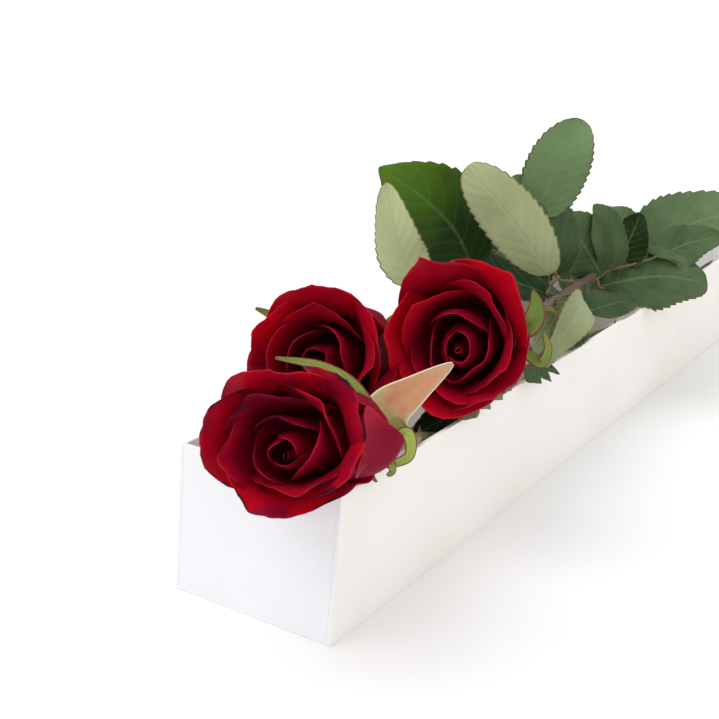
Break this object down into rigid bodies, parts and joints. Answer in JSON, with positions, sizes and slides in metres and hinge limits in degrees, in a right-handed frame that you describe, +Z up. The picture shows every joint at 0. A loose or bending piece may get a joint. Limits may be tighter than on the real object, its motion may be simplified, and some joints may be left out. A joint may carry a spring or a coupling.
{
  "type": "rose box",
  "caption": "Long open white gift box with red long-stemmed roses lying in it, their heads on the near end and their leaves rising over the sides.",
  "frame": {"origin": "centre of the underside of the box", "axes": "+Y along the box, away from the end where the blooms lie; +X to the right seen from that end; +Z up"},
  "size_m": [0.1641, 0.6998, 0.2068],
  "materials": {
    "board": "satin",
    "petals": "matte",
    "calyx": "satin",
    "outer_sepal": "satin",
    "stems": "satin",
    "leaves": "satin"
  },
  "bodies": {
    "root": {"box_base": "board", "box_side_left": "board", "box_side_right": "board", "box_end_near": "board", "box_end_far": "board", "rose1_bloom": "petals", "rose2_bloom": "petals", "rose3_bloom": "petals", "rose1_calyx": "calyx", "rose2_calyx": "calyx", "rose3_calyx": "calyx", "rose1_outer_sepal": "outer_sepal", "rose1_stem": "stems", "rose2_stem": "stems", "rose3_stem": "stems", "leaf_upper_left": "leaves", "leaf_centre": "leaves", "leaf_right": "leaves", "leaf_far_right": "leaves", "leaf_droop": "leaves", "leaf_inner_rim": "leaves", "leaf_rim": "leaves", "leaf_inside_left": "leaves", "leaf_inside_right": "leaves"}
  },
  "joints": []
}
